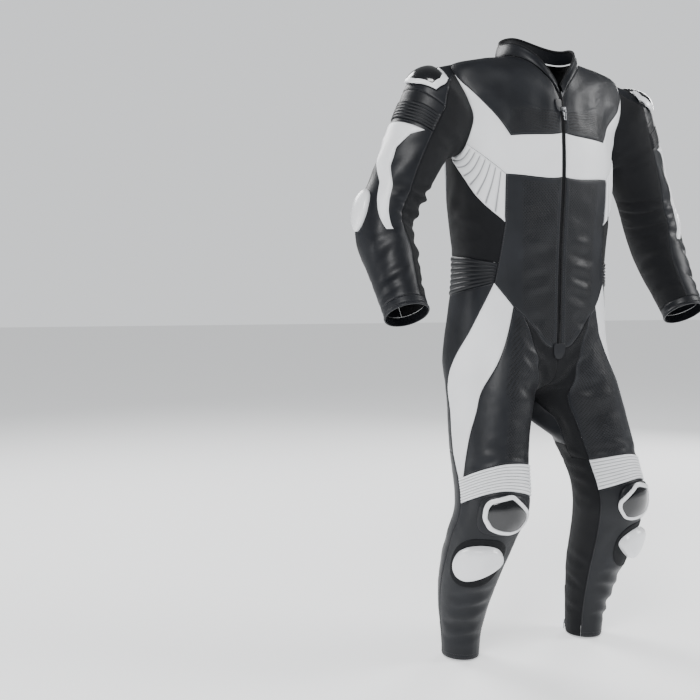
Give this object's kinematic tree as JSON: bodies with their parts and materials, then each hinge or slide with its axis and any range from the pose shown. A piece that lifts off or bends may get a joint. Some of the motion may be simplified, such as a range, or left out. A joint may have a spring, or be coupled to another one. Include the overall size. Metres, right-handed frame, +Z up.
{
  "type": "motorcycle race suit",
  "caption": "Full-length leather race suit with pleated panels, perforated front, back hump, hard shoulder and knee cups, knee and elbow sliders and a long front zip.",
  "frame": {"origin": "between the shoulders at the base of the neck, where a wearer or hanger holds the suit up", "axes": "+Z up, +X to the suit's own left, front of the suit towards -Y"},
  "size_m": [0.9116, 0.3375, 1.4308],
  "materials": {
    "black_leather": "semi-gloss grained black leather",
    "white_leather": "semi-gloss white leather",
    "black_stretch": "matte woven stretch fabric",
    "white_plastic": "satin white plastic",
    "black_plastic": "gloss black plastic",
    "zip_metal": "dark satin metal"
  },
  "bodies": {
    "suit": {"yoke_l": "black_leather", "yoke_r": "black_leather", "chest_white_l": "white_leather", "chest_white_r": "white_leather", "underarm_ribs_l": "white_leather", "underarm_ribs_r": "white_leather", "front_lower_l": "black_leather", "front_lower_r": "black_leather", "side_stretch_l": "black_stretch", "side_stretch_r": "black_stretch", "waist_ribs_l": "black_leather", "waist_ribs_r": "black_leather", "back_main_l": "black_leather", "back_main_r": "black_leather", "back_stripe_l": "white_leather", "back_stripe_r": "white_leather", "shoulder_ribs_l": "white_leather", "shoulder_ribs_r": "white_leather", "seat_back_l": "black_leather", "seat_back_r": "black_leather", "crotch_stretch_l": "black_stretch", "crotch_stretch_r": "black_stretch", "thigh_stripe_l": "white_leather", "thigh_stripe_r": "white_leather", "thigh_front_l": "black_leather", "thigh_front_r": "black_leather", "knee_ribs_l": "white_leather", "knee_ribs_r": "white_leather", "shin_l": "black_leather", "shin_r": "black_leather", "calf_stretch_l": "black_stretch", "calf_stretch_r": "black_stretch", "calf_back_l": "black_leather", "calf_back_r": "black_leather", "sleeve_cap_l": "black_leather", "sleeve_cap_r": "black_leather", "sleeve_ribs_l": "black_leather", "sleeve_ribs_r": "black_leather", "sleeve_white_l": "white_leather", "sleeve_white_r": "white_leather", "sleeve_outer_l": "black_leather", "sleeve_outer_r": "black_leather", "sleeve_inner_l": "black_stretch", "sleeve_inner_r": "black_stretch", "cuff_l": "black_leather", "cuff_r": "black_leather", "shoulder_cup_l": "black_plastic", "shoulder_cup_r": "black_plastic", "elbow_slider_l": "white_plastic", "elbow_slider_r": "white_plastic", "knee_cup_l": "white_plastic", "knee_cup_r": "white_plastic", "knee_slider_l": "white_plastic", "knee_slider_r": "white_plastic", "collar": "black_leather", "front_zip": "black_stretch", "zip_slider": "zip_metal", "hump": "black_leather", "lumbar_ribs": "black_leather"},
    "pull": {"zip_pull": "zip_metal"}
  },
  "joints": [
    {"name": "front_zip_pull", "type": "hinge", "parent": "suit", "child": "pull", "pos_m": [0, -0.13137, -0.07511], "axis": [-1, 0, 0], "range_deg": [0, 150]}
  ]
}
